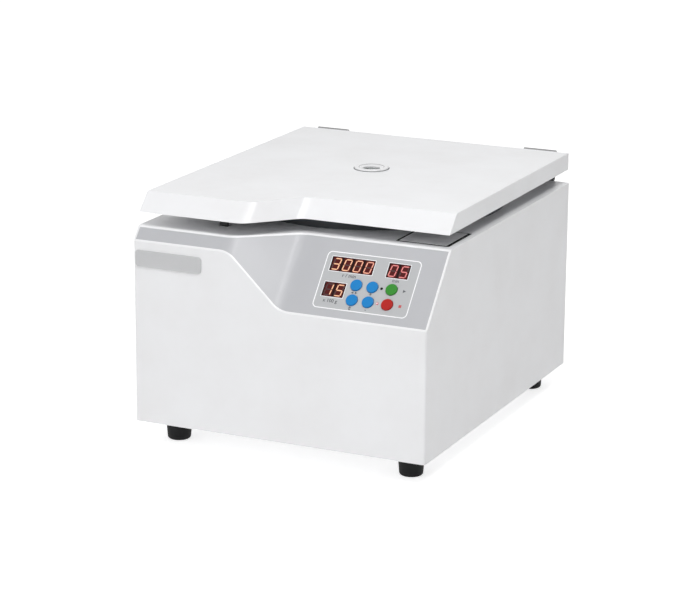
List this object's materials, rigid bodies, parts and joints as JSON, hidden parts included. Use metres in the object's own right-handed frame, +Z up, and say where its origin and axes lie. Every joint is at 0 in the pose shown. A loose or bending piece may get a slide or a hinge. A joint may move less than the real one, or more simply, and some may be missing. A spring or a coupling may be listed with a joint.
{
  "type": "cytocentrifuge",
  "caption": "Benchtop cytocentrifuge: white steel cabinet with a slanted grey control panel, digit displays and keys, hinged lid with a sight window, and a rotor of swinging slide clips.",
  "frame": {"origin": "middle of the footprint on the surface it stands on", "axes": "+X to the right seen from the front, +Y to the back, +Z up"},
  "size_m": [0.35, 0.431, 0.2852],
  "materials": {
    "white_paint": "satin white powder coat",
    "grey_paint": "satin grey",
    "badge_white": "gloss",
    "tray_steel": "satin grey",
    "black_rubber": "matte",
    "slate_rubber": "matte",
    "display_red": "tinted window",
    "key_blue": "gloss",
    "key_green": "gloss",
    "key_red": "gloss",
    "lamp_dark": "gloss",
    "board_green": "satin",
    "bare_steel": "brushed",
    "plated_steel": "bright plated",
    "dark_steel": "satin",
    "iron": "painted grey",
    "alloy": "anodised",
    "knob_black": "matte",
    "clear_glass": "clear",
    "funnel_white": "natural",
    "inlet_black": "matte",
    "rocker_red": "gloss"
  },
  "bodies": {
    "chassis": {"cabinet_shell": "white_paint", "control_fascia": "grey_paint", "badge_plate": "badge_white", "base_tray": "tray_steel", "rubber_feet": "black_rubber", "display_speed": "display_red", "display_time": "display_red", "display_force": "display_red", "indicator_lamps": "lamp_dark", "control_board": "board_green", "chamber_bowl": "bare_steel", "chamber_seal": "slate_rubber", "latch_housing": "dark_steel", "latch_solenoid": "dark_steel", "body_hinge_leaves": "white_paint", "hinge_pins": "dark_steel", "motor_posts": "plated_steel", "vibration_mounts": "black_rubber", "motor_plate": "dark_steel", "motor_housing": "iron", "shaft_boot": "black_rubber", "motor_driver": "board_green", "rear_panel": "white_paint", "rear_screws": "plated_steel", "power_inlet": "inlet_black"},
    "lid": {"lid_shell": "white_paint", "lid_liner": "white_paint", "window_ring": "white_paint", "window_glass": "clear_glass", "lid_striker": "plated_steel", "lid_hinge_leaves": "white_paint"},
    "rotor": {"drive_spindle": "plated_steel", "rotor_head": "alloy", "rotor_knob": "knob_black"},
    "lock_bolt": {"latch_bolt": "plated_steel"},
    "rocker": {"power_rocker": "rocker_red"},
    "shift_key": {"shift_button": "key_blue"},
    "mode_key": {"mode_button": "key_blue"},
    "plus_key": {"plus_button": "key_blue"},
    "minus_key": {"minus_button": "key_blue"},
    "start_key": {"start_button": "key_green"},
    "stop_key": {"stop_button": "key_red"},
    "station_1": {"slide_clip_1": "bare_steel", "glass_slide_1": "clear_glass", "sample_funnel_1": "funnel_white"},
    "station_2": {"slide_clip_2": "bare_steel", "glass_slide_2": "clear_glass", "sample_funnel_2": "funnel_white"},
    "station_3": {"slide_clip_3": "bare_steel", "glass_slide_3": "clear_glass", "sample_funnel_3": "funnel_white"},
    "station_4": {"slide_clip_4": "bare_steel", "glass_slide_4": "clear_glass", "sample_funnel_4": "funnel_white"},
    "station_5": {"slide_clip_5": "bare_steel", "glass_slide_5": "clear_glass", "sample_funnel_5": "funnel_white"},
    "station_6": {"slide_clip_6": "bare_steel", "glass_slide_6": "clear_glass", "sample_funnel_6": "funnel_white"}
  },
  "joints": [
    {"name": "lid_hinge", "type": "hinge", "parent": "chassis", "child": "lid", "pos_m": [0, 0.2115, 0.2799], "axis": [-1, 0, 0], "range_deg": [0, 75]},
    {"name": "rotor_spin", "type": "hinge", "parent": "chassis", "child": "rotor", "pos_m": [0, 0.0277, 0.1422], "axis": [0, 0, 1], "continuous": true},
    {"name": "lock_bolt_slide", "type": "slide", "parent": "chassis", "child": "lock_bolt", "axis": [0, -1, 0], "range_m": [0, 0.01], "stiffness_N_per_m": 120},
    {"name": "rocker_tilt", "type": "hinge", "parent": "chassis", "child": "rocker", "pos_m": [0.095, 0.2082, 0.14], "axis": [1, 0, 0], "range_deg": [0, 16]},
    {"name": "shift_press", "type": "slide", "parent": "chassis", "child": "shift_key", "axis": [0, 0.766, -0.6428], "range_m": [0, 0.0008], "stiffness_N_per_m": 1500},
    {"name": "mode_press", "type": "slide", "parent": "chassis", "child": "mode_key", "axis": [0, 0.766, -0.6428], "range_m": [0, 0.0008], "stiffness_N_per_m": 1500},
    {"name": "plus_press", "type": "slide", "parent": "chassis", "child": "plus_key", "axis": [0, 0.766, -0.6428], "range_m": [0, 0.0008], "stiffness_N_per_m": 1500},
    {"name": "minus_press", "type": "slide", "parent": "chassis", "child": "minus_key", "axis": [0, 0.766, -0.6428], "range_m": [0, 0.0008], "stiffness_N_per_m": 1500},
    {"name": "start_press", "type": "slide", "parent": "chassis", "child": "start_key", "axis": [0, 0.766, -0.6428], "range_m": [0, 0.0008], "stiffness_N_per_m": 1500},
    {"name": "stop_press", "type": "slide", "parent": "chassis", "child": "stop_key", "axis": [0, 0.766, -0.6428], "range_m": [0, 0.0008], "stiffness_N_per_m": 1500},
    {"name": "clip_swing_1", "type": "hinge", "parent": "rotor", "child": "station_1", "pos_m": [0, 0.1342, 0.1602], "axis": [-1, 0, 0], "range_deg": [0, 20]},
    {"name": "clip_swing_2", "type": "hinge", "parent": "rotor", "child": "station_2", "pos_m": [-0.09223, 0.08095, 0.1602], "axis": [-0.5, -0.866, 0], "range_deg": [0, 20]},
    {"name": "clip_swing_3", "type": "hinge", "parent": "rotor", "child": "station_3", "pos_m": [-0.09223, -0.02555, 0.1602], "axis": [0.5, -0.866, 0], "range_deg": [0, 20]},
    {"name": "clip_swing_4", "type": "hinge", "parent": "rotor", "child": "station_4", "pos_m": [0, -0.0788, 0.1602], "axis": [1, 0, 0], "range_deg": [0, 20]},
    {"name": "clip_swing_5", "type": "hinge", "parent": "rotor", "child": "station_5", "pos_m": [0.09223, -0.02555, 0.1602], "axis": [0.5, 0.866, 0], "range_deg": [0, 20]},
    {"name": "clip_swing_6", "type": "hinge", "parent": "rotor", "child": "station_6", "pos_m": [0.09223, 0.08095, 0.1602], "axis": [-0.5, 0.866, 0], "range_deg": [0, 20]}
  ]
}
